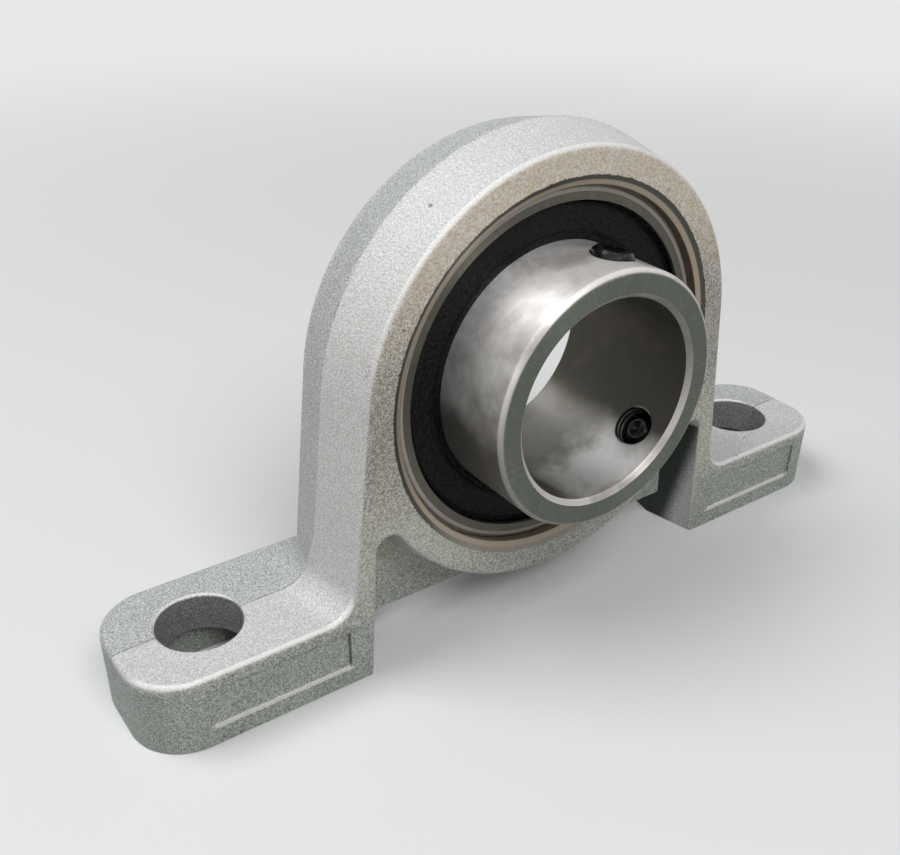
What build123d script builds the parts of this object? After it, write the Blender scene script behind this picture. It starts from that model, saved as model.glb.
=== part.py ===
from build123d import *
import os
from math import cos, radians, sin, sqrt, tan

# Pillow block bearing: a die-cast two-bolt housing that holds a self-aligning ball bearing insert.
# Millimetres. The origin is the centre of the bearing on the shaft axis, which is Y.
# +Z is up, and the wide end of the inner ring points to -Y, the front.

# ---- ball bearing insert ----
bore_diameter = 25.0
outer_sphere_diameter = 47.0
ball_share = 0.5773           # ball diameter as a share of the wall from bore to outer sphere
ball_count = 10
groove_conformity = 0.52      # raceway radius as a share of the ball diameter
inner_ring_front = 16.0       # from the bearing centre to the wide end face
bore_chamfer = 0.6
inner_ring_rounding = 0.75
outer_ring_chamfer = 0.45
inner_land_share = 0.331      # inner ring's outside, inside the pitch circle, in ball diameters
outer_land_share = 0.3465     # outer ring's inside, outside the pitch circle, in ball diameters

# ---- cage ----
cage_sheet = 0.6
rivet_diameter = 1.0
rivet_head_diameter = 1.8
rivet_head_height = 0.35

# ---- seals ----
seal_depth = 1.7              # from the outer ring's face to the back of the seal
seal_sink = 0.95              # from that face to the front of the rubber
seal_recess = 0.6             # opening of the outer ring's face, outside its land
seal_groove = 1.2             # undercut behind that opening, outside the land
seal_groove_lip = 0.5         # thickness of the outer ring in front of the undercut
seal_rim_drop = 0.3           # the rubber in the groove lies lower by this much
seal_shoulder = 0.15          # where the rubber steps down, outside the land
seal_lip_drop = 0.25          # the rubber thins towards its lip by this much on each face
seal_core_thickness = 0.35
seal_core_rim = 0.5           # rubber outside the steel core
seal_core_lip = 0.8           # rubber inside it

# ---- set screws ----
screw_diameter = 5.0
screw_length = 4.0
screw_inset = 5.1             # from the inner ring's wide end face to the screws
screw_socket = 2.5            # across flats
screw_socket_depth = 1.8
screw_point_diameter = 2.6
screw_cup_depth = 0.5
screw_cup_rim = 0.25          # width of the ring that bites into the shaft
screw_end_chamfer = 0.35
screw_angles = (79.0, -41.0)  # degrees from +X towards +Z
screw_lifts = (0.1, 0.8)      # distance of each point from the bore

# ---- housing ----
shaft_height = 33.0           # shaft axis above the mounting face
ring_wall = 5.3               # housing ring round the insert, at the parting plane, y = 0
ring_width = 15.0
casting_draft = 12.0          # degrees, on the ring, the legs and the window between them
leg_flare = 6.1               # degrees that each leg leans out from the vertical
leg_thickness = 6.7           # of each leg at the mounting face
window_lean = 3.1             # degrees that the inner side of each leg leans in
window_corner = 0.3           # radius between leg and ring at the parting plane
window_rounding = 0.5         # its front edges
web_thickness = 3.2
web_bottom = 4.2              # height of the web's lower edge above the mounting face
bolt_spacing = 90.0
bolt_hole_diameter = 10.2
bolt_hole_rim = 0.4           # rounding of the bolt hole's upper edge
foot_end = 10.5               # from a bolt hole's centre to the end of the foot
foot_ledge = 4.1              # depth of the feet behind the ring
foot_height = 9.8
foot_corner = 6.8             # plan radius at the ends of the feet
core_depth = 4.7              # hollow under each foot
core_wall = 3.2
core_corner = 3.0
core_draft = 4.0              # degrees
panel_start = 1.6             # recessed panel on each foot's front, outside the ring
panel_end = 6.9               # and its distance from the end of the foot
panel_height = 5.4
panel_depth = 0.4
panel_corner = 0.5
panel_level = 5.2             # panel centre above the mounting face
edge_rounding = 0.7           # outer edges of the casting
back_rounding = 1.6           # back edge of ring and legs
parting_rounding = 1.2        # softens the crease at the parting plane
foot_fillet = 3.4             # between foot and leg
mouth_step = 0.83             # the machined mouths are smaller than the spherical seat
mouth_chamfer = 1.2
mouth_chamfer_depth = 0.6

# ---- clearances ----
seat_clearance = 0.08         # between the spherical seat and the outer ring
ball_play = 0.03              # radial, between a ball and each raceway
pocket_clearance = 0.1        # between a ball and its cage pocket
cage_clearance = 0.5          # between the cage and each ring
seal_gap = 0.425              # between the cage and each seal
seal_fit = 0.03               # radial, between the seal's rim and its groove
lip_clearance = 0.08          # between a seal lip and the inner ring
screw_clearance = 0.05        # radial, between a set screw and its hole
slot_clearance = 0.15         # between the loading slots and the outer ring's faces

# ---- sizes that follow ----
bore_radius = bore_diameter / 2
sphere_radius = outer_sphere_diameter / 2
pitch_radius = (bore_radius + sphere_radius) / 2
ball_diameter = ball_share * (sphere_radius - bore_radius)
ball_radius = ball_diameter / 2
ball_step = 360 / ball_count
groove_radius = groove_conformity * ball_diameter
inner_groove_centre = pitch_radius - ball_radius - ball_play + groove_radius
outer_groove_centre = pitch_radius + ball_radius + ball_play - groove_radius
inner_ring_radius = pitch_radius - inner_land_share * ball_diameter
land_radius = pitch_radius + outer_land_share * ball_diameter
cage_inner_radius = inner_ring_radius + cage_clearance
cage_outer_radius = land_radius - cage_clearance
cup_radius = ball_radius + pocket_clearance + cage_sheet
seal_back = cup_radius + seal_gap
ring_half = seal_back + seal_depth
seal_front = ring_half - seal_sink
screw_line = inner_ring_front - screw_inset
screw_hole_radius = screw_diameter / 2
screw_radius = screw_hole_radius - screw_clearance

floor = -shaft_height
foot_top = floor + foot_height
foot_front = ring_width / 2
foot_back = ring_width / 2 + foot_ledge
foot_centre = foot_ledge / 2
foot_reach = bolt_spacing / 2 + foot_end
ring_radius = sphere_radius + ring_wall
seat_radius = sphere_radius + seat_clearance
mouth_radius = seat_radius - mouth_step

os.makedirs("parts", exist_ok=True)


def save(piece, name):
    """Label a finished piece and write it as one STEP file."""
    piece.part.label = name
    export_step(piece.part, f"parts/{name}.step")


def half_chord(radius, offset):
    """Half the chord of a circle at a distance from its centre."""
    return sqrt(radius**2 - offset**2)


def near(value):
    """Range that picks what lies at one coordinate."""
    return value - 0.01, value + 0.01


def flipped(point):
    """The same point of a (radius, y) profile on the other side of the parting plane."""
    return point.X, -point.Y


def turned(outline):
    """Solid of revolution about the shaft axis from (radius, y) corners."""
    with BuildPart() as piece:
        with BuildSketch(Plane.XY):
            with BuildLine():
                Polyline(*outline, close=True)
            make_face()
        revolve(axis=Axis.Y)
    return piece


# ---- housing ----
def leg_outside(level):
    """Half width over the legs at a level, on the flank that is tangent to the ring."""
    return ring_radius / cos(radians(leg_flare)) - level * tan(radians(leg_flare))


def window_side(level, spread=0.0):
    """Half width of the gap between the legs at a level."""
    return leg_outside(floor) - leg_thickness + spread - (level - floor) * tan(radians(window_lean))


below_floor = floor - foot_height / 2
tangent_level = ring_radius * sin(radians(leg_flare))
window_top = floor / 3
strip_top = foot_top + foot_fillet + edge_rounding
draft_spread = ring_width / 2 * tan(radians(casting_draft))
mouth_depth = half_chord(seat_radius, mouth_radius)
front_reach = window_side(floor, draft_spread)

with BuildPart() as housing:
    # Ring and legs: one outline at the parting plane, drafted to the front and to the back.
    with BuildSketch(Plane.XZ):
        Circle(ring_radius)
        with BuildLine():
            Polyline(
                (leg_outside(tangent_level), tangent_level),
                (-leg_outside(tangent_level), tangent_level),
                (-leg_outside(below_floor), below_floor),
                (leg_outside(below_floor), below_floor),
                close=True,
            )
        make_face()
    extrude(amount=ring_width / 2, both=True, taper=casting_draft)
    parting_edges = housing.edges().filter_by_position(Axis.Y, *near(0))
    fillet(parting_edges.filter_by_position(Axis.Z, floor, ring_radius + 1), parting_rounding)
    back_outline = housing.faces().sort_by(Axis.Y)[-1].edges().filter_by_position(Axis.Z, floor, ring_radius)
    fillet(back_outline, back_rounding)

    # Feet, still one slab under the whole housing.
    with BuildSketch(Plane.XY.offset(floor)):
        with Locations((0, foot_centre)):
            RectangleRounded(2 * foot_reach, foot_front + foot_back, foot_corner)
    extrude(amount=foot_height)
    split(bisect_by=Plane.XY.offset(floor), keep=Keep.TOP)

    # Where a foot meets its leg, then one smooth line of rounded edges over feet, legs and ring.
    leg_zone = leg_outside(floor) + foot_fillet
    junction = housing.edges().filter_by_position(Axis.Z, *near(foot_top))
    junction = junction.filter_by_position(Axis.X, -leg_zone, leg_zone)
    junction = junction.filter_by_position(Axis.Y, -foot_front, ring_width / 2 + 0.01)
    fillet(junction, foot_fillet)
    front_outline = housing.edges().filter_by_position(Axis.Y, *near(-foot_front))
    outline = front_outline.filter_by_position(Axis.Z, foot_top - 0.01, ring_radius)
    foot_outline = housing.edges().filter_by_position(Axis.Z, *near(foot_top))
    outline += foot_outline.filter_by_position(Axis.Y, *near(foot_back))
    outline += foot_outline.filter_by_position(Axis.X, leg_zone, foot_reach)
    outline += foot_outline.filter_by_position(Axis.X, -foot_reach, -leg_zone)
    fillet(ShapeList(set(outline)), edge_rounding)

    # Window between the legs, up to the lower side of the ring, drafted like the outside.
    with BuildSketch(Plane.XZ) as window:
        with BuildLine():
            Polyline(
                (-window_side(below_floor), below_floor),
                (-window_side(window_top), window_top),
                (window_side(window_top), window_top),
                (window_side(below_floor), below_floor),
                close=True,
            )
        make_face()
        Circle(ring_radius, mode=Mode.SUBTRACT)
        fillet(window.vertices().sort_by(Axis.Y)[-2:], window_corner)
    extrude(amount=foot_back + 1, both=True, taper=-casting_draft, mode=Mode.SUBTRACT)
    window_edges = housing.edges().filter_by_position(Axis.Y, *near(-foot_front))
    window_edges = window_edges.filter_by_position(Axis.X, -front_reach, front_reach)
    fillet(window_edges.filter_by_position(Axis.Z, floor + 0.01, -mouth_radius), window_rounding)

    # The strip of foot behind the ring stops at the legs too.
    with BuildSketch(Plane.XZ.offset(-ring_width / 2)):
        with BuildLine():
            Polyline(
                (-window_side(below_floor, draft_spread), below_floor),
                (-window_side(strip_top, draft_spread), strip_top),
                (window_side(strip_top, draft_spread), strip_top),
                (window_side(below_floor, draft_spread), below_floor),
                close=True,
            )
        make_face()
    extrude(amount=-foot_back, mode=Mode.SUBTRACT)

    # Thin web under the ring.
    with BuildSketch(Plane.XZ):
        with Locations((0, floor + web_bottom)):
            Rectangle(2 * ring_radius, shaft_height / 2, align=(Align.CENTER, Align.MIN))
    extrude(amount=web_thickness / 2, both=True)

    # Opening: chamfered machined mouths and the spherical seat between them.
    with BuildSketch(Plane.XY) as opening:
        with BuildLine():
            rim = Polyline(
                (0, -ring_width),
                (mouth_radius + mouth_chamfer, -ring_width),
                (mouth_radius + mouth_chamfer, -ring_width / 2),
                (mouth_radius, mouth_chamfer_depth - ring_width / 2),
                (mouth_radius, -mouth_depth),
            )
            mirror(about=Plane.XZ)
            ThreePointArc(rim @ 1, (seat_radius, 0), (mouth_radius, mouth_depth))
            Line((0, -ring_width), (0, ring_width))
        make_face()
    revolve(axis=Axis.Y, mode=Mode.SUBTRACT)

    # Loading slots at the back: the insert goes in edge-on, then turns into line.
    with BuildSketch(Plane.XZ):
        Rectangle(2 * seat_radius, 2 * (ring_half + slot_clearance))
    extrude(amount=-ring_width, mode=Mode.SUBTRACT)

    # Hollow under each foot, the bolt hole through it, and the panel on its front.
    core_start = leg_outside(floor)
    core_length = foot_reach - core_wall - core_start
    with BuildSketch(Plane.XY.offset(floor)):
        for side in (-1, 1):
            with Locations((side * (core_start + core_length / 2), foot_centre)):
                RectangleRounded(core_length, foot_front + foot_back - 2 * core_wall, core_corner)
    extrude(amount=core_depth, taper=core_draft, mode=Mode.SUBTRACT)
    with BuildSketch(Plane.XY.offset(foot_top)):
        with Locations((-bolt_spacing / 2, foot_centre), (bolt_spacing / 2, foot_centre)):
            Circle(bolt_hole_diameter / 2)
    extrude(amount=-foot_height, mode=Mode.SUBTRACT)
    hole_rims = housing.edges().filter_by(GeomType.CIRCLE).filter_by_position(Axis.Z, *near(foot_top))
    fillet(hole_rims.filter_by_position(Axis.Y, *near(foot_centre)), bolt_hole_rim)
    panel_inner = ring_radius + panel_start
    panel_outer = foot_reach - panel_end
    panel_middle = (panel_inner + panel_outer) / 2
    with BuildSketch(Plane.XZ.offset(foot_front)):
        with Locations((-panel_middle, floor + panel_level), (panel_middle, floor + panel_level)):
            RectangleRounded(panel_outer - panel_inner, panel_height, panel_corner)
    extrude(amount=-panel_depth, mode=Mode.SUBTRACT)
save(housing, "housing")

# ---- outer ring: spherical outside, raceway, and a groove for a seal at each side ----
chamfer_start = ring_half - outer_ring_chamfer
with BuildPart() as outer_ring:
    with BuildSketch(Plane.XY):
        with BuildLine():
            side = Polyline(
                (land_radius, -half_chord(groove_radius, land_radius - outer_groove_centre)),
                (land_radius, -seal_back),
                (land_radius + seal_groove, -seal_back),
                (land_radius + seal_groove, seal_groove_lip - ring_half),
                (land_radius + seal_recess, seal_groove_lip - ring_half),
                (land_radius + seal_recess, -ring_half),
                (half_chord(sphere_radius, ring_half) - outer_ring_chamfer, -ring_half),
                (half_chord(sphere_radius, chamfer_start), -chamfer_start),
            )
            mirror(about=Plane.XZ)
            ThreePointArc(side @ 0, (outer_groove_centre + groove_radius, 0), flipped(side @ 0))
            ThreePointArc(side @ 1, (sphere_radius, 0), flipped(side @ 1))
        make_face()
    revolve(axis=Axis.Y)
save(outer_ring, "outer_ring")


# ---- inner ring: wide towards the front, with a raceway and two set screw holes ----
def screw_plane(angle, distance):
    """Plane across a set screw, at a distance from the shaft axis."""
    outward = Vector(cos(radians(angle)), 0, sin(radians(angle)))
    return Plane(origin=Vector(0, -screw_line, 0) + outward * distance, z_dir=outward)


with BuildPart() as inner_ring:
    with BuildSketch(Plane.XZ.offset(inner_ring_front)):
        Circle(inner_ring_radius)
        Circle(bore_radius, mode=Mode.SUBTRACT)
    extrude(amount=-inner_ring_front - ring_half)
    end_edges = inner_ring.edges().filter_by(GeomType.CIRCLE).group_by(SortBy.RADIUS)
    chamfer(end_edges[0], bore_chamfer)
    fillet(end_edges[-1], inner_ring_rounding)
    with BuildSketch(Plane.XY):
        with Locations((inner_groove_centre, 0)):
            Circle(groove_radius)
    revolve(axis=Axis.Y, mode=Mode.SUBTRACT)
    for angle in screw_angles:
        with BuildSketch(screw_plane(angle, 0)):
            Circle(screw_hole_radius)
        extrude(amount=2 * inner_ring_radius, mode=Mode.SUBTRACT)
save(inner_ring, "inner_ring")


# ---- balls ----
for index in range(ball_count):
    direction = radians(index * ball_step)
    with BuildPart() as ball:
        with Locations((pitch_radius * cos(direction), 0, pitch_radius * sin(direction))):
            Sphere(ball_radius)
    save(ball, f"ball_{index + 1:02d}")


# ---- cage: two pressed halves with a cup for each ball, riveted between the balls ----
with BuildSketch(Plane.XZ) as cage_band:
    Circle(cage_outer_radius)
    Circle(cage_inner_radius, mode=Mode.SUBTRACT)

with BuildSketch(Plane.XZ) as rivet_shanks:
    with PolarLocations(pitch_radius, ball_count, start_angle=ball_step / 2):
        Circle(rivet_diameter / 2)

for side, name in ((1, "cage_front"), (-1, "cage_rear")):
    with BuildPart() as cage_half:
        with Locations(Plane.XZ):
            with PolarLocations(pitch_radius, ball_count):
                Sphere(cup_radius)
        extrude(cage_band.sketch, amount=side * cup_radius, mode=Mode.INTERSECT)
        extrude(cage_band.sketch, amount=side * cage_sheet)
        with Locations(Plane.XZ):
            with PolarLocations(pitch_radius, ball_count):
                Sphere(cup_radius - cage_sheet, mode=Mode.SUBTRACT)
        extrude(rivet_shanks.sketch, amount=side * cage_sheet, mode=Mode.SUBTRACT)
    save(cage_half, name)

with BuildPart() as cage_rivets:
    extrude(rivet_shanks.sketch, amount=cage_sheet, both=True)
    for side in (1, -1):
        with BuildSketch(Plane.XZ.offset(side * cage_sheet)):
            with PolarLocations(pitch_radius, ball_count, start_angle=ball_step / 2):
                Circle(rivet_head_diameter / 2)
        extrude(amount=side * rivet_head_height)
save(cage_rivets, "cage_rivets")


# ---- seals: rubber moulded round a steel ring ----
lip_radius = inner_ring_radius + lip_clearance
rim_radius = land_radius + seal_groove - seal_fit
step_radius = land_radius + seal_shoulder
core_outer = land_radius + seal_groove - seal_core_rim
core_inner = inner_ring_radius + seal_core_lip
core_outline = [
    (core_inner, seal_back),
    (core_inner, seal_back + seal_core_thickness),
    (core_outer, seal_back + seal_core_thickness),
    (core_outer, seal_back),
]
rubber_outline = [
    (rim_radius, seal_back),
    (rim_radius, seal_front - seal_rim_drop),
    (step_radius, seal_front - seal_rim_drop),
    (step_radius, seal_front),
    (core_inner, seal_front),
    (lip_radius, seal_front - seal_lip_drop),
    (lip_radius, seal_back + seal_lip_drop),
    *core_outline,
]
for side, name in ((-1, "seal_front"), (1, "seal_rear")):
    save(turned([(radius, side * y) for radius, y in rubber_outline]), name)
    save(turned([(radius, side * y) for radius, y in core_outline]), f"{name}_core")


# ---- set screws: hexagon socket at the outer end, cup point at the shaft ----
for number, (angle, lift) in enumerate(zip(screw_angles, screw_lifts), 1):
    point_plane = screw_plane(angle, bore_radius + lift)
    with BuildPart() as screw:
        with BuildSketch(point_plane):
            Circle(screw_radius)
        extrude(amount=screw_length)
        ends = screw.faces().filter_by(GeomType.PLANE).sort_by(lambda face: face.center().length)
        chamfer(ends[0].edges(), screw_radius - screw_point_diameter / 2)
        chamfer(ends[-1].edges(), screw_end_chamfer)
        with BuildSketch(point_plane.offset(screw_length)):
            RegularPolygon(screw_socket / 2, 6, major_radius=False)
        extrude(amount=-screw_socket_depth, mode=Mode.SUBTRACT)
        with Locations(point_plane):
            Cone(
                screw_point_diameter / 2 - screw_cup_rim,
                0,
                screw_cup_depth,
                align=(Align.CENTER, Align.CENTER, Align.MIN),
                mode=Mode.SUBTRACT,
            )
    save(screw, f"set_screw_{number}")
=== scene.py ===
# Pillow block bearing: a die-cast two-bolt housing with a self-aligning ball bearing insert.
# The shapes come from the frame. This script gives them their materials, then the floor, light and camera.
# Materials measure in millimetres from the bearing's centre: X along the feet, Y along the shaft, Z up.
from math import cos, pi, radians, sin

import bmesh
import bpy
from mathutils import Matrix, Vector

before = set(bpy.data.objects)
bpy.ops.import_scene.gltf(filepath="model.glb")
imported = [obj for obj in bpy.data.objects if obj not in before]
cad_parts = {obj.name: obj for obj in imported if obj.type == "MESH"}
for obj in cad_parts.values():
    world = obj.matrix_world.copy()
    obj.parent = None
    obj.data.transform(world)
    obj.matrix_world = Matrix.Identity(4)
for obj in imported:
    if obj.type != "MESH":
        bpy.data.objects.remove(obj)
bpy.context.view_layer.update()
print("frame loaded:", len(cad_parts), "nodes")


# node helpers: put makes one node, the others give back the socket that holds their result
def put(tree, kind, ins=None, **settings):
    node = tree.nodes.new(kind)
    for name, value in settings.items():
        setattr(node, name, value)
    for key, value in (ins or {}).items():
        if isinstance(value, bpy.types.NodeSocket):
            tree.links.new(value, node.inputs[key])
        else:
            node.inputs[key].default_value = value
    return node


def maths(tree, operation, first, second=0.0):
    return put(tree, "ShaderNodeMath", {0: first, 1: second}, operation=operation).outputs[0]


def plus(tree, first, second):
    return maths(tree, "ADD", first, second)


def minus(tree, first, second):
    return maths(tree, "SUBTRACT", first, second)


def times(tree, first, second):
    return maths(tree, "MULTIPLY", first, second)


def larger(tree, first, second):
    return maths(tree, "MAXIMUM", first, second)


def unsigned(tree, value):
    return maths(tree, "ABSOLUTE", value)


def distance(tree, first, second):  # across the corner of two distances at right angles
    squares = plus(tree, maths(tree, "POWER", first, 2.0), maths(tree, "POWER", second, 2.0))
    return maths(tree, "SQRT", squares)


def swing(tree, pattern, amount):  # a pattern of 0 to 1 turned into a push to either side
    return times(tree, minus(tree, pattern, 0.5), amount)


def rise(tree, value, low, high, start=0.0, end=1.0):  # smooth step from low to high
    node = put(tree, "ShaderNodeMapRange", {"Value": value}, interpolation_type="SMOOTHSTEP")
    node.inputs["From Min"].default_value = low
    node.inputs["From Max"].default_value = high
    node.inputs["To Min"].default_value = start
    node.inputs["To Max"].default_value = end
    return node.outputs["Result"]


def fall(tree, value, low, high):  # 1 below low, 0 above high
    return rise(tree, value, low, high, 1.0, 0.0)


def inside(tree, value, limit, soft):  # 1 below the limit, 0 above it, fading over soft to either side
    return fall(tree, value, limit - soft, limit + soft)


def between(tree, value, low, high, soft):  # 1 from low to high, fading over soft
    return times(tree, rise(tree, value, low - soft, low), fall(tree, value, high, high + soft))


def blendColour(tree, mask, first, second, mode="MIX"):
    node = put(tree, "ShaderNodeMix", {"Factor": mask}, data_type="RGBA", blend_type=mode)
    for socket, value in ((node.inputs[6], first), (node.inputs[7], second)):
        if isinstance(value, bpy.types.NodeSocket):
            tree.links.new(value, socket)
        else:
            socket.default_value = (*value, 1.0)
    return node.outputs[2]


def overlayTone(tree, mask, colour, tone):  # a tone of 0.5 leaves the colour as it is
    grey = put(tree, "ShaderNodeCombineColor", {0: tone, 1: tone, 2: tone}).outputs[0]
    return blendColour(tree, mask, colour, grey, "OVERLAY")


def noise(tree, vector, scale, detail, roughness):
    ins = {"Vector": vector, "Scale": scale, "Detail": detail, "Roughness": roughness}
    return put(tree, "ShaderNodeTexNoise", ins).outputs["Fac"]


def cellDistance(tree, vector, scale):  # from the middle of the nearest cell
    cells = put(tree, "ShaderNodeTexVoronoi", {"Vector": vector, "Scale": scale}, feature="F1")
    return cells.outputs["Distance"]


def newMaterial(name):
    material = bpy.data.materials.new(name)
    material.use_nodes = True
    tree = material.node_tree
    tree.nodes.clear()
    shader = put(tree, "ShaderNodeBsdfPrincipled")
    output = put(tree, "ShaderNodeOutputMaterial")
    tree.links.new(shader.outputs[0], output.inputs["Surface"])
    return material, tree, shader


def finishShader(tree, shader, colour, roughness, height=None, bumpDepth=0.0, metallic=0.0):
    for name, value in (("Base Color", colour), ("Roughness", roughness), ("Metallic", metallic)):
        if isinstance(value, bpy.types.NodeSocket):
            tree.links.new(value, shader.inputs[name])
        elif name == "Base Color":
            shader.inputs[name].default_value = (*value, 1.0)
        else:
            shader.inputs[name].default_value = value
    if height is not None:
        bump = put(tree, "ShaderNodeBump", {"Strength": 1.0, "Distance": bumpDepth, "Height": height})
        tree.links.new(bump.outputs[0], shader.inputs["Normal"])


def dress(nodeNames, material):
    for name in nodeNames:
        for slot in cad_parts[name].material_slots:
            slot.material = material


def weigh(tree, patterns, shares):  # patterns added up, each by its share
    total = None
    for name, share in shares.items():
        part = times(tree, patterns[name], share)
        total = part if total is None else plus(tree, total, part)
    return total


# shared effects
def buildPlaceGroup():
    # place round the shaft: radius and position along the shaft in millimetres, angle in radians
    group = bpy.data.node_groups.new("placeOnShaft", "ShaderNodeTree")
    group.interface.new_socket("Millimetres", in_out="OUTPUT", socket_type="NodeSocketVector")
    for name in ("Across", "Along", "Up", "Radius", "Angle", "Facing front", "Facing up"):
        group.interface.new_socket(name, in_out="OUTPUT", socket_type="NodeSocketFloat")
    out = put(group, "NodeGroupOutput")
    coords = put(group, "ShaderNodeTexCoord")
    toMillimetres = {"Vector": coords.outputs["Object"], "Scale": (1000, 1000, 1000)}
    spot = put(group, "ShaderNodeMapping", toMillimetres).outputs[0]
    place = put(group, "ShaderNodeSeparateXYZ", {0: spot})
    facing = put(group, "ShaderNodeSeparateXYZ", {0: coords.outputs["Normal"]})
    flat = put(group, "ShaderNodeVectorMath", {0: spot, 1: (1.0, 0.0, 1.0)}, operation="MULTIPLY")
    radius = put(group, "ShaderNodeVectorMath", {0: flat.outputs[0]}, operation="LENGTH").outputs["Value"]
    angle = maths(group, "ARCTAN2", place.outputs[2], place.outputs[0])
    front = times(group, facing.outputs[1], -1.0)
    for name, value in (("Millimetres", spot), ("Across", place.outputs[0]), ("Along", place.outputs[1]),
                        ("Up", place.outputs[2]), ("Radius", radius), ("Angle", angle),
                        ("Facing front", front), ("Facing up", facing.outputs[2])):
        group.links.new(value, out.inputs[name])
    return group


placeGroup = buildPlaceGroup()


def placeOutputs(tree):
    return put(tree, "ShaderNodeGroup", node_tree=placeGroup).outputs


# fine lines left by turning and grinding: round the shaft on the bores and outsides, radial on the faces
turnedLook = {"perRadian": 1.3, "rayPerMm": 0.5, "rayOffset": 3.7, "pattern": (1.0, 2.0, 0.6),
              "faceFrom": (0.6, 0.9)}


def buildTurnedGroup(look):
    group = bpy.data.node_groups.new("turnedLines", "ShaderNodeTree")
    for name in ("Lines per mm", "Rays"):
        group.interface.new_socket(name, in_out="INPUT", socket_type="NodeSocketFloat")
    group.interface.new_socket("Height", in_out="OUTPUT", socket_type="NodeSocketFloat")
    source = put(group, "NodeGroupInput").outputs
    out = put(group, "NodeGroupOutput")
    place = placeOutputs(group)
    alongLines = put(group, "ShaderNodeCombineXYZ", {
        0: times(group, place["Along"], source["Lines per mm"]),
        1: times(group, place["Angle"], look["perRadian"]), 2: 0.0})
    rays = put(group, "ShaderNodeCombineXYZ", {
        0: times(group, place["Angle"], source["Rays"]),
        1: times(group, place["Radius"], look["rayPerMm"]), 2: look["rayOffset"]})
    roundLines = noise(group, alongLines.outputs[0], *look["pattern"])
    rayLines = noise(group, rays.outputs[0], *look["pattern"])
    onFace = rise(group, unsigned(group, place["Facing front"]), *look["faceFrom"])
    mixed = put(group, "ShaderNodeMix", {0: onFace, 2: roundLines, 3: rayLines}, data_type="FLOAT")
    group.links.new(mixed.outputs[0], out.inputs["Height"])
    return group


turnedGroup = buildTurnedGroup(turnedLook)

# housing: blasted die casting with a machined mouth
housingLook = {
    # colours of the cast skin
    "side": (0.66, 0.65, 0.64), "top": (0.61, 0.61, 0.62), "behind": (0.37, 0.40, 0.385),
    "face": (0.73, 0.655, 0.56), "faceSide": (0.45, 0.43, 0.385), "leg": (0.58, 0.575, 0.52),
    "low": (0.42, 0.445, 0.41), "sideShade": (0.29, 0.33, 0.31), "window": (0.035, 0.045, 0.04),
    "rim": (0.84, 0.83, 0.81), "hole": (0.28, 0.285, 0.28),
    "line": (0.20, 0.20, 0.20), "pit": (0.15, 0.145, 0.14),
    # colours of the machined mouth: the dark chamfer and mouth are painted shade, their Low copies painted
    # light
    "mouth": (0.20, 0.165, 0.13), "mouthLow": (0.44, 0.375, 0.29), "seatLip": (0.48, 0.40, 0.31),
    "chamfer": (0.09, 0.09, 0.08), "chamferLow": (0.34, 0.315, 0.265),
    # how strongly they show
    "behindShown": 0.55, "lowShown": 0.8, "sideShadeShown": 0.5, "edgeShown": 0.8, "ledgeShown": 0.9,
    "shadowShown": 0.8, "lineShown": 0.5, "pitShown": 0.7, "speckleShown": 0.70, "frontSpeckle": 0.1,
    # radii, from the shaft and from the middle of a bolt hole
    "mouthRadius": 23.95, "lipRadius": 23.38, "mouthInner": 22.8, "ringOutside": (27.0, 27.8),
    "ringUnderside": (26.0, 27.0), "holeRadius": (5.2, 5.45),
    # heights over the shaft
    "footTop": -23.2, "panelBottom": -30.5, "panelTop": -25.1, "lowMouth": (-21.0, -12.0),
    "faceFade": (2.0, 20.0), "legFade": (-30.0, -19.0), "legToFace": (-16.0, -2.0),
    # places across and along the shaft
    "holePlace": 45.0, "footStart": (27.0, 28.0), "windowSide": (26.2, 26.8), "panelInner": 30.4,
    "panelOuter": 48.6, "partingDepth": 2.05, "ledgeFront": (-7.2, -6.9), "shadowFront": (-7.0, -6.8),
    # patterns: scale per millimetre, detail and roughness
    "grain": (4.6, 2.0, 0.65), "fine": (9.0, 1.0, 0.6), "lumps": (0.8, 2.0, 0.5), "cloud": (0.12, 3.0, 0.55),
    "lineWander": (0.35, 2.0, 0.5), "pitScale": 0.2, "pitSize": (0.03, 0.07),
    "speckleOf": {"grain": 0.6, "fine": 0.4}, "speckleFrom": (0.38, 0.64), "speckle": 0.36,
    "speckleKept": 0.85, "cloudAdded": 0.15, "raggedLumps": 0.35, "raggedGrain": 0.25,
    # relief: shares of the patterns in its height, how deep pits and line are in it, and its depth in metres
    "reliefOf": {"grain": 0.8, "lumps": 0.5, "fine": 0.15}, "markDepth": 0.6, "reliefDepth": 0.00012,
    # the cast skin is rougher and less metallic than the machined mouth
    "roughness": 0.36, "castRougher": 0.22, "metal": 0.3, "castDuller": 0.1, "shine": 0.3,
    # which way a surface faces: cosines to up or to the front where its colour starts and where it is full
    "topFacing": (0.25, 0.85), "frontFacing": (0.72, 0.96), "edgeFacingUp": (0.1, 0.5),
}


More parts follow.
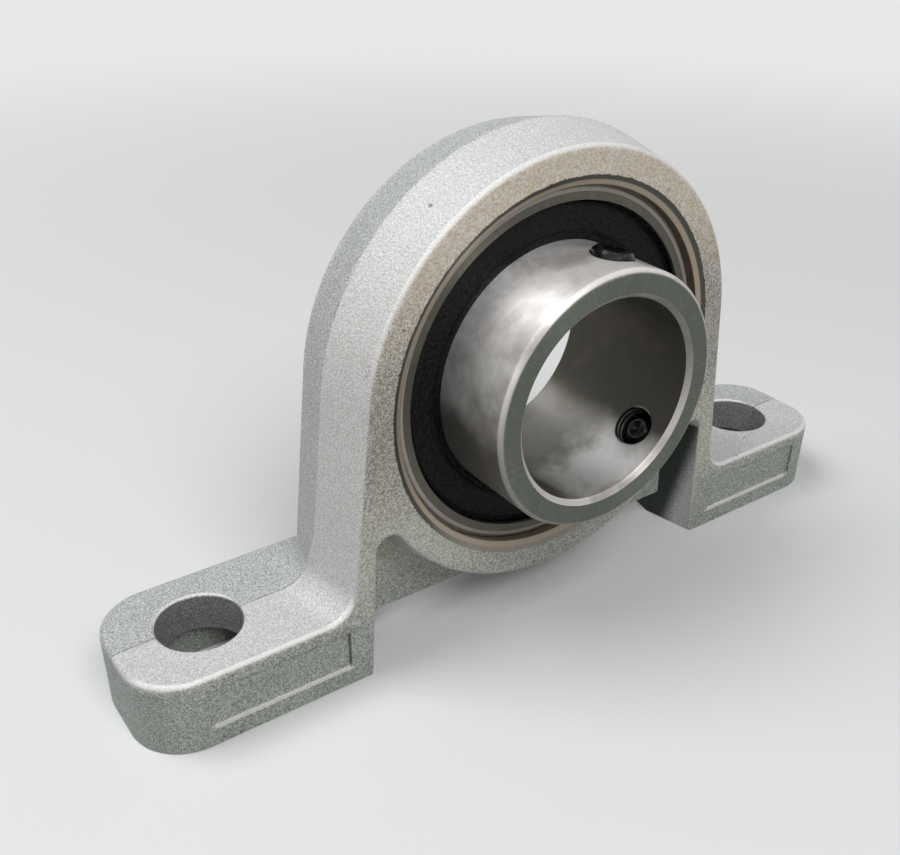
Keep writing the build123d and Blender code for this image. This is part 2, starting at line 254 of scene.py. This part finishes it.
def colourCasting(tree, place, look, onFront):
    # painted shade on the rear half: behind the step between the die halves, which runs from the feet over
    # the ring, the colour is darker
    level = place["Up"]
    # painted shade on the tops: faces turned up take a slightly darker, bluer copy of the side colour
    onTop = rise(tree, place["Facing up"], *look["topFacing"])
    colour = blendColour(tree, onTop, look["side"], look["top"])
    nearFoot = fall(tree, level, look["footTop"] + 1.0, look["footTop"] + 9.0)
    halfPlace = minus(tree, place["Along"], times(tree, nearFoot, look["partingDepth"]))
    onRing = rise(tree, place["Radius"], *look["ringOutside"])
    backHalf = times(tree, rise(tree, halfPlace, -0.25, 0.15), onRing)
    colour = blendColour(tree, times(tree, backHalf, look["behindShown"]), colour, look["behind"])
    # the front: painted light and shade, a lighter brown high on the ring, greyer and darker down the legs
    faceColour = blendColour(tree, rise(tree, level, *look["faceFade"]), look["faceSide"], look["face"])
    legColour = blendColour(tree, rise(tree, level, *look["legFade"]), look["low"], look["leg"])
    frontColour = blendColour(tree, rise(tree, level, *look["legToFace"]), legColour, faceColour)
    return blendColour(tree, onFront, colour, frontColour)


def darkenSides(tree, place, look, onFront, colour):
    # sides of the feet: painted shade, darker below the foot tops and darker still away from the front
    up, aside = unsigned(tree, place["Facing up"]), unsigned(tree, place["Across"])
    upright = fall(tree, up, 0.2, 0.5)
    belowTop = fall(tree, place["Up"], look["footTop"] - 1.6, look["footTop"] - 0.4)
    onFoot = times(tree, times(tree, belowTop, upright), rise(tree, aside, *look["footStart"]))
    colour = blendColour(tree, times(tree, onFoot, look["lowShown"]), colour, look["low"])
    shadedAwayFromFront = times(tree, onFoot, minus(tree, 1.0, onFront))
    colour = blendColour(tree, times(tree, shadedAwayFromFront, look["sideShadeShown"]), colour, look["sideShade"])
    # sides of the window under the ring: painted shadow, nearly black where the ring shades them
    facingAcross = fall(tree, plus(tree, unsigned(tree, place["Facing front"]), up), 0.25, 0.55)
    inWindow = fall(tree, aside, *look["windowSide"])
    underRing = times(tree, inWindow, rise(tree, place["Radius"], *look["ringUnderside"]))
    return blendColour(tree, times(tree, facingAcross, underRing), colour, look["window"])


def brightenEdges(tree, place, look, colour):
    # painted highlight round the top edges of the feet and the ring
    slanting = between(tree, place["Facing front"], 0.35, 0.8, 0.2)
    onEdge = times(tree, slanting, rise(tree, place["Facing up"], *look["edgeFacingUp"]))
    return blendColour(tree, times(tree, onEdge, look["edgeShown"]), colour, look["rim"])


def machineMouth(tree, place, look, skin, colour):
    # ragged at its edge, where the tool met the rough face; painted light low down, where it faces up, and
    # painted shade higher up
    radius = place["Radius"]
    ragged = swing(tree, skin["lumps"], look["raggedLumps"])
    ragged = plus(tree, ragged, swing(tree, skin["grain"], look["raggedGrain"]))
    inMouth = inside(tree, plus(tree, radius, ragged), look["mouthRadius"], 0.06)
    onLip = inside(tree, radius, look["lipRadius"], 0.1)
    inCylinder = inside(tree, radius, look["mouthInner"], 0.05)
    lowMouth = fall(tree, place["Up"], *look["lowMouth"])
    chamferColour = blendColour(tree, lowMouth, look["chamfer"], look["chamferLow"])
    mouthColour = blendColour(tree, lowMouth, look["mouth"], look["mouthLow"])
    colour = blendColour(tree, inMouth, colour, chamferColour)
    colour = blendColour(tree, onLip, colour, look["seatLip"])
    colour = blendColour(tree, inCylinder, colour, mouthColour)
    return colour, larger(tree, inCylinder, inMouth)


def darkenBoltHoles(tree, place, look, behindParting, colour):
    # painted shade on the walls of the bolt holes
    fromMiddle = minus(tree, unsigned(tree, place["Across"]), look["holePlace"])
    near = fall(tree, distance(tree, fromMiddle, behindParting), *look["holeRadius"])
    inHole = times(tree, near, fall(tree, place["Facing up"], 0.2, 0.6))
    return blendColour(tree, inHole, colour, look["hole"])


def edgePanels(tree, place, look, colour):
    # recessed panels: a painted highlight along the lower ledge, and a painted shadow along the upright edge
    # next to the leg
    aside, level, along = unsigned(tree, place["Across"]), place["Up"], place["Along"]
    inner, bottom, top = look["panelInner"], look["panelBottom"], look["panelTop"]
    ledge = times(tree, between(tree, level, bottom - 0.2, bottom + 0.05, 0.12),
                  between(tree, aside, inner, look["panelOuter"] - 0.8, 0.5))
    ledge = times(tree, ledge, fall(tree, along, *look["ledgeFront"]))
    colour = blendColour(tree, times(tree, ledge, look["ledgeShown"]), colour, look["rim"])
    shadow = times(tree, between(tree, aside, inner - 0.02, inner + 0.12, 0.1),
                   between(tree, level, bottom + 0.5, top - 0.5, 0.5))
    shadow = times(tree, shadow, fall(tree, along, *look["shadowFront"]))
    return blendColour(tree, times(tree, shadow, look["shadowShown"]), colour, look["line"])


def partingLine(tree, place, look, behindParting):
    # runs over the feet and ends just above their tops
    wander = swing(tree, noise(tree, place["Millimetres"], *look["lineWander"]), 0.5)
    line = between(tree, plus(tree, behindParting, wander), -0.04, 0.04, 0.1)
    return times(tree, line, fall(tree, place["Up"], look["footTop"] + 0.3, look["footTop"] + 2.5))


def speckleSkin(tree, look, skin, cast, onFront, colour):
    shade = weigh(tree, skin, look["speckleOf"])
    shade = rise(tree, shade, *look["speckleFrom"], 0.5 - look["speckle"], 0.5 + look["speckle"])
    clouds = times(tree, skin["cloud"], look["cloudAdded"])
    shade = plus(tree, times(tree, shade, look["speckleKept"]), clouds)
    strength = plus(tree, look["speckleShown"], times(tree, onFront, look["frontSpeckle"]))
    return overlayTone(tree, times(tree, cast, strength), colour, shade)


def castRelief(tree, look, skin, cast, marks):
    height = times(tree, weigh(tree, skin, look["reliefOf"]), cast)
    return minus(tree, height, times(tree, marks, look["markDepth"]))


def makeCasting(look):
    material, tree, shader = newMaterial("castHousing")
    place = placeOutputs(tree)
    spot = place["Millimetres"]
    skin = {name: noise(tree, spot, *look[name]) for name in ("grain", "fine", "lumps", "cloud")}
    onFront = rise(tree, place["Facing front"], *look["frontFacing"])
    behindParting = minus(tree, place["Along"], look["partingDepth"])
    colour = colourCasting(tree, place, look, onFront)
    colour = darkenSides(tree, place, look, onFront, colour)
    colour = brightenEdges(tree, place, look, colour)
    colour, machined = machineMouth(tree, place, look, skin, colour)
    colour = darkenBoltHoles(tree, place, look, behindParting, colour)
    colour = edgePanels(tree, place, look, colour)
    line = partingLine(tree, place, look, behindParting)
    colour = blendColour(tree, times(tree, line, look["lineShown"]), colour, look["line"])
    # a few small pits, then the speckle of the blasted skin
    pit = fall(tree, cellDistance(tree, spot, look["pitScale"]), *look["pitSize"])
    colour = blendColour(tree, times(tree, pit, look["pitShown"]), colour, look["pit"])
    cast = minus(tree, 1.0, machined)
    colour = speckleSkin(tree, look, skin, cast, onFront, colour)
    height = castRelief(tree, look, skin, cast, plus(tree, line, pit))
    roughness = plus(tree, look["roughness"], times(tree, cast, look["castRougher"]))
    metal = minus(tree, look["metal"], times(tree, cast, look["castDuller"]))
    finishShader(tree, shader, colour, roughness, height, look["reliefDepth"], metallic=metal)
    shader.inputs["Specular IOR Level"].default_value = look["shine"]
    return material


dress(["housing"], makeCasting(housingLook))
print("housing dressed")

# rings of the insert: ground steel under an oil film, wiped off one side of the outside and of the bore; the
# wiped sides are also painted light where the lamps' highlight falls, and the filmed rest also painted shade
# and reflection a wiped and lit side is its direction in degrees, the cosines where it starts and is full,
# and its raggedness
innerRingLook = {
    # the dark face is a painted reflection: a darker copy of the ring steel
    "outside": (0.82, 0.80, 0.79), "face": (0.13, 0.145, 0.12), "bore": (0.70, 0.68, 0.67),
    "filmAndShadeOutside": (0.13, 0.12, 0.11), "filmAndShadeBore": (0.085, 0.08, 0.065),
    "edge": (0.88, 0.83, 0.78), "edgeBelow": (0.36, 0.36, 0.32),
    "worn": (0.30, 0.31, 0.28), "wear": 0.25, "stain": (0.16, 0.14, 0.125), "stains": 0.55,
    "wipedAndLitOutside": (118.0, 0.30, 0.95, 0.9), "wipedAndLitBore": (-78.0, 0.74, 0.97, 0.35),
    "wipedAndLitDepth": (-9.5, -3.5), "edgeFrom": 30.0, "lines": 9.0, "rays": 110.0,
    "metal": 0.85, "roughness": 0.48, "anisotropy": 0.75,
}
outerRingLook = {
    # the dark face is a painted reflection: a darker copy of the ring steel
    "outside": (0.30, 0.28, 0.25), "face": (0.115, 0.11, 0.09), "bore": (0.30, 0.29, 0.26),
    "filmAndShadeOutside": (0.30, 0.28, 0.25), "filmAndShadeBore": (0.30, 0.29, 0.26),
    "edge": (0.56, 0.51, 0.45), "edgeBelow": (0.40, 0.36, 0.31),
    "worn": (0.20, 0.18, 0.15), "wear": 0.25, "stain": (0.10, 0.09, 0.075), "stains": 0.3,
    "wipedAndLitOutside": (90.0, 0.3, 1.0, 0.5), "wipedAndLitBore": (-90.0, 0.3, 1.0, 0.5),
    "wipedAndLitDepth": (5.0, 10.0), "edgeFrom": 21.8, "lines": 7.0, "rays": 60.0,
    "metal": 0.8, "roughness": 0.40, "anisotropy": 0.6,
}
# what both rings share: patterns are given as for the housing, and the depth of the lines is in metres
steelLook = {
    "boreRadius": 12.6, "depthRagged": 14.0, "deepWipedAndLit": 0.22, "edgeShown": 0.8, "edgeDuller": 0.45,
    "smudge": (0.13, 4.0, 0.5), "mottle": (1.3, 3.0, 0.65), "mottled": 0.45, "tones": (0.30, 0.40),
    "scratchFrom": (0.5, 0.72), "stainFrom": (0.50, 0.72), "smudgeRougher": 0.3, "mottleRougher": 0.15,
    "faceFacing": (0.8, 0.97), "lineDepth": 0.000003, "turned": 0.25,
}
# holes of the set screws, painted shade with painted glints on the thread crests, their places as degrees
# round the shaft and millimetres along it
screwHoleLook = {"angles": (79.0, -41.0), "place": -10.9, "radius": 2.7, "threadPitch": 0.8,
                 "holeShade": (0.012, 0.012, 0.012), "crestGlint": (0.32, 0.32, 0.31)}


def wipedAndLitSide(tree, place, wipedAndLit, smudge):
    degrees, start, cleanAndLit, raggedness = wipedAndLit
    toward = maths(tree, "COSINE", minus(tree, place["Angle"], radians(degrees)))
    return rise(tree, plus(tree, toward, swing(tree, smudge, raggedness)), start, cleanAndLit)


def colourSteel(tree, place, look, onFace, inBore, onEdge, smudge):
    # painted light on the wiped side of the outside and of the bore near the front, oil film and painted
    # shade on the rest
    outsideWipedAndLit = wipedAndLitSide(tree, place, look["wipedAndLitOutside"], smudge)
    outside = blendColour(tree, outsideWipedAndLit, look["filmAndShadeOutside"], look["outside"])
    depth = plus(tree, place["Along"], swing(tree, smudge, steelLook["depthRagged"]))
    nearFront = rise(tree, depth, *look["wipedAndLitDepth"], 1.0, steelLook["deepWipedAndLit"])
    boreWipedAndLit = times(tree, wipedAndLitSide(tree, place, look["wipedAndLitBore"], smudge), nearFront)
    bore = blendColour(tree, boreWipedAndLit, look["filmAndShadeBore"], look["bore"])
    # painted highlight on the rounded edges: bright where they face up, darker below
    edge = blendColour(tree, rise(tree, place["Facing up"], -0.2, 0.45), look["edgeBelow"], look["edge"])
    colour = blendColour(tree, onFace, outside, look["face"])
    colour = blendColour(tree, inBore, colour, bore)
    return blendColour(tree, times(tree, onEdge, steelLook["edgeShown"]), colour, edge)


def shadeScrewHoles(tree, place, look, colour):
    # painted shade in the holes, with painted glints on the crests of their threads
    inHoles = onCrests = 0.0
    for degrees in look["angles"]:
        cosine, sine = cos(radians(degrees)), sin(radians(degrees))
        outward = plus(tree, times(tree, place["Across"], cosine), times(tree, place["Up"], sine))
        sideways = minus(tree, times(tree, place["Up"], cosine), times(tree, place["Across"], sine))
        away = distance(tree, sideways, minus(tree, place["Along"], look["place"]))
        near = fall(tree, away, look["radius"] - 0.15, look["radius"])
        inHole = times(tree, near, rise(tree, outward, 0.0, 1.0))
        thread = maths(tree, "SINE", times(tree, outward, 2 * pi / look["threadPitch"]))
        onCrest = times(tree, inHole, rise(tree, thread, 0.45, 0.95))
        inHoles, onCrests = larger(tree, inHoles, inHole), larger(tree, onCrests, onCrest)
    colour = blendColour(tree, inHoles, colour, look["holeShade"])
    return blendColour(tree, onCrests, colour, look["crestGlint"])


def makeRingSteel(name, look, holeLook=None):
    material, tree, shader = newMaterial(name)
    place = placeOutputs(tree)
    ins = {"Lines per mm": look["lines"], "Rays": look["rays"]}
    lines = put(tree, "ShaderNodeGroup", ins, node_tree=turnedGroup).outputs["Height"]
    smudge = noise(tree, place["Millimetres"], *steelLook["smudge"])
    mottle = noise(tree, place["Millimetres"], *steelLook["mottle"])
    facing = unsigned(tree, place["Facing front"])
    onFace = rise(tree, facing, *steelLook["faceFacing"])
    inBore = fall(tree, place["Radius"], steelLook["boreRadius"], steelLook["boreRadius"] + 0.1)
    # a painted highlight on a band round the outer rim of the faces, and on the slanting edges
    pastEdge = rise(tree, place["Radius"], look["edgeFrom"] - 0.05, look["edgeFrom"] + 0.05)
    outerRimHighlight = times(tree, pastEdge, rise(tree, facing, 0.2, 0.4))
    onEdge = larger(tree, between(tree, facing, 0.35, 0.85, 0.15), outerRimHighlight)
    colour = colourSteel(tree, place, look, onFace, inBore, onEdge, smudge)
    scratched = times(tree, rise(tree, lines, *steelLook["scratchFrom"]), minus(tree, 1.0, inBore))
    colour = blendColour(tree, times(tree, scratched, look["wear"]), colour, look["worn"])
    stained = times(tree, rise(tree, smudge, *steelLook["stainFrom"]), minus(tree, 1.0, onFace))
    colour = blendColour(tree, times(tree, stained, look["stains"]), colour, look["stain"])
    darkest, spread = steelLook["tones"]
    colour = overlayTone(tree, steelLook["mottled"], colour, plus(tree, darkest, times(tree, mottle, spread)))
    if holeLook:
        colour = shadeScrewHoles(tree, place, holeLook, colour)
    roughness = plus(tree, look["roughness"], swing(tree, smudge, steelLook["smudgeRougher"]))
    roughness = plus(tree, roughness, swing(tree, mottle, steelLook["mottleRougher"]))
    metal = minus(tree, look["metal"], times(tree, onEdge, steelLook["edgeDuller"]))
    finishShader(tree, shader, colour, roughness, lines, steelLook["lineDepth"], metallic=metal)
    shader.inputs["Anisotropic"].default_value = look["anisotropy"]
    shader.inputs["Anisotropic Rotation"].default_value = steelLook["turned"]
    roundAxis = put(tree, "ShaderNodeTangent", direction_type="RADIAL", axis="Y")
    tree.links.new(roundAxis.outputs[0], shader.inputs["Tangent"])
    return material


dress(["inner_ring"], makeRingSteel("innerRingSteel", innerRingLook, screwHoleLook))
dress(["outer_ring"], makeRingSteel("outerRingSteel", outerRingLook))
print("rings dressed")

# balls: polished, with a faint haze
ballLook = {"colour": (0.62, 0.61, 0.60), "roughness": 0.08, "haze": (0.8, 3.0, 0.5), "hazeRougher": 0.05}
# cage and the cores of the seals: pressed sheet steel
cageLook = {"colour": (0.50, 0.47, 0.41), "dull": (0.30, 0.27, 0.22), "dulled": 0.4, "roughness": 0.34,
            "grain": (2.2, 3.0, 0.6), "depth": 0.000006}


def makeBallSteel(look):
    material, tree, shader = newMaterial("ballSteel")
    haze = noise(tree, placeOutputs(tree)["Millimetres"], *look["haze"])
    roughness = plus(tree, look["roughness"], times(tree, haze, look["hazeRougher"]))
    finishShader(tree, shader, look["colour"], roughness, metallic=1.0)
    return material


def makeCageSteel(look):
    material, tree, shader = newMaterial("cageSteel")
    grain = noise(tree, placeOutputs(tree)["Millimetres"], *look["grain"])
    colour = blendColour(tree, times(tree, grain, look["dulled"]), look["colour"], look["dull"])
    finishShader(tree, shader, colour, look["roughness"], grain, look["depth"], metallic=1.0)
    return material


dress([f"ball_{number:02d}" for number in range(1, 11)], makeBallSteel(ballLook))
cageSteel = makeCageSteel(cageLook)
dress(["cage_front", "cage_rear", "cage_rivets", "seal_front_core", "seal_rear_core"], cageSteel)
print("balls and cage dressed")

# seals: moulded rubber with a leathery grain and two raised rings
rubberLook = {"colour": (0.004, 0.004, 0.004), "worn": (0.010, 0.010, 0.009), "wornFrom": (0.5, 0.8),
              "cellScale": 1.6, "fine": (2.2, 3.0, 0.65), "dust": (0.4, 3.0, 0.6),
              "reliefOf": {"cells": 0.5, "fine": 0.7}, "lipRidge": 16.95, "edgeRidge": 20.25,
              "depth": 0.00045,
              "roughness": 0.34, "dustRougher": 0.2, "shine": 0.16}


def raisedRing(tree, place, radius):
    return between(tree, place["Radius"], radius - 0.05, radius + 0.05, 0.15)


def makeRubber(look):
    material, tree, shader = newMaterial("sealRubber")
    place = placeOutputs(tree)
    cells = cellDistance(tree, place["Millimetres"], look["cellScale"])
    fine = noise(tree, place["Millimetres"], *look["fine"])
    dust = noise(tree, place["Millimetres"], *look["dust"])
    colour = blendColour(tree, rise(tree, dust, *look["wornFrom"]), look["colour"], look["worn"])
    ridges = plus(tree, raisedRing(tree, place, look["lipRidge"]), raisedRing(tree, place, look["edgeRidge"]))
    height = plus(tree, weigh(tree, {"cells": cells, "fine": fine}, look["reliefOf"]), ridges)
    roughness = plus(tree, look["roughness"], times(tree, dust, look["dustRougher"]))
    finishShader(tree, shader, colour, roughness, height, look["depth"])
    shader.inputs["Specular IOR Level"].default_value = look["shine"]
    return material


dress(["seal_front", "seal_rear"], makeRubber(rubberLook))

# set screws: black oxide, worn in places
screwLook = {"colour": (0.028, 0.028, 0.030), "worn": (0.22, 0.215, 0.21), "wornFrom": (0.55, 0.85),
             "grain": (4.0, 3.0, 0.6), "depth": 0.000006, "roughness": 0.24, "metal": 0.8}


def makeBlackSteel(look):
    material, tree, shader = newMaterial("blackSteel")
    grain = noise(tree, placeOutputs(tree)["Millimetres"], *look["grain"])
    colour = blendColour(tree, rise(tree, grain, *look["wornFrom"]), look["colour"], look["worn"])
    finishShader(tree, shader, colour, look["roughness"], grain, look["depth"], metallic=look["metal"])
    return material


dress(["set_screw_1", "set_screw_2"], makeBlackSteel(screwLook))
print("seals and screws dressed")

# floor, light and camera: places and sizes are in metres, powers in watts
stageLook = {"floorLevel": -0.0331, "floorSize": 6.0, "pale": (0.80, 0.81, 0.805),
             "bounce": (0.35, 0.35, 0.35), "roughness": 0.9, "evenFrom": (0.08, 0.42)}
lightLook = {
    "world": 0.20,
    "lamps": (  # name, place, width and power
        ("keyLight", (-0.28, 0.155, 0.533), 0.35, 2.1),
        ("frontLight", (-0.062, -0.384, 0.484), 0.30, 1.8),
    ),
}
# picture, focal and centre are in pixels, the sensor in millimetres
cameraLook = {"place": (-0.07726, -0.09305, 0.05681), "right": (0.81821, -0.57480, 0.01176),
              "down": (-0.28639, -0.42523, -0.85858), "picture": (900, 855), "focal": 1065.9,
              "centre": (451.0, 457.4), "sensor": 36.0, "clipStart": 0.005}


def seenDirectly(tree):  # by the camera, or in metal and glass
    rays = put(tree, "ShaderNodeLightPath")
    seen = larger(tree, rays.outputs["Is Camera Ray"], rays.outputs["Is Glossy Ray"])
    return larger(tree, seen, rays.outputs["Is Transmission Ray"])


def makeFloorPaint(look):
    material, tree, shader = newMaterial("paleFloor")
    colour = blendColour(tree, seenDirectly(tree), look["bounce"], look["pale"])
    finishShader(tree, shader, colour, look["roughness"])
    # seen far from the object the floor keeps its own pale colour, so that it meets the world evenly
    coords = put(tree, "ShaderNodeTexCoord")
    away = put(tree, "ShaderNodeVectorMath", {0: coords.outputs["Object"]}, operation="LENGTH")
    far = times(tree, rise(tree, away.outputs["Value"], *look["evenFrom"]), seenDirectly(tree))
    plain = put(tree, "ShaderNodeEmission", {"Color": (*look["pale"], 1.0), "Strength": 1.0})
    mixed = put(tree, "ShaderNodeMixShader", {0: far, 1: shader.outputs[0], 2: plain.outputs[0]})
    output = next(node for node in tree.nodes if node.bl_idname == "ShaderNodeOutputMaterial")
    tree.links.new(mixed.outputs[0], output.inputs["Surface"])
    return material


def makeStage(look):
    sheet = bmesh.new()
    bmesh.ops.create_grid(sheet, x_segments=1, y_segments=1, size=look["floorSize"] / 2)
    bmesh.ops.translate(sheet, verts=sheet.verts, vec=(0.0, 0.0, look["floorLevel"]))
    mesh = bpy.data.meshes.new("floor")
    sheet.to_mesh(mesh)
    sheet.free()
    mesh.materials.append(makeFloorPaint(look))
    floor = bpy.data.objects.new("floor", mesh)
    bpy.context.collection.objects.link(floor)


def makeWorld(look, pale):
    world = bpy.data.worlds.new("studio")
    world.use_nodes = True
    tree = world.node_tree
    tree.nodes.clear()
    soft = put(tree, "ShaderNodeBackground", {"Color": (1.0, 1.0, 1.0, 1.0), "Strength": look["world"]})
    shown = put(tree, "ShaderNodeBackground", {"Color": (*pale, 1.0), "Strength": 1.0})
    mixed = put(tree, "ShaderNodeMixShader", {0: seenDirectly(tree), 1: soft.outputs[0], 2: shown.outputs[0]})
    put(tree, "ShaderNodeOutputWorld", {"Surface": mixed.outputs[0]})
    bpy.context.scene.world = world


def makeLamps(look):
    for name, place, width, power in look["lamps"]:
        light = bpy.data.lights.new(name, "AREA")
        light.shape = "SQUARE"
        light.size = width
        light.energy = power
        lamp = bpy.data.objects.new(name, light)
        lamp.location = place
        lamp.rotation_euler = (-Vector(place)).to_track_quat("-Z", "Y").to_euler()  # towards the bearing
        bpy.context.collection.objects.link(lamp)


def makeCamera(look):
    right = Vector(look["right"]).normalized()
    up = -Vector(look["down"])
    up = (up - right * up.dot(right)).normalized()
    turn = Matrix((right, up, right.cross(up))).transposed().to_4x4()
    width, height = look["picture"]
    data = bpy.data.cameras.new("camera")
    data.sensor_fit = "HORIZONTAL"
    data.sensor_width = look["sensor"]
    data.lens = look["focal"] / width * look["sensor"]
    data.shift_x = (width / 2 - look["centre"][0]) / width
    data.shift_y = (look["centre"][1] - height / 2) / width
    data.clip_start = look["clipStart"]
    camera = bpy.data.objects.new("camera", data)
    camera.matrix_world = Matrix.Translation(look["place"]) @ turn
    bpy.context.collection.objects.link(camera)
    bpy.context.scene.camera = camera


makeStage(stageLook)
makeWorld(lightLook, stageLook["pale"])
makeLamps(lightLook)
makeCamera(cameraLook)
bpy.context.scene.view_settings.view_transform = "Standard"
print("stage, light and camera ready")
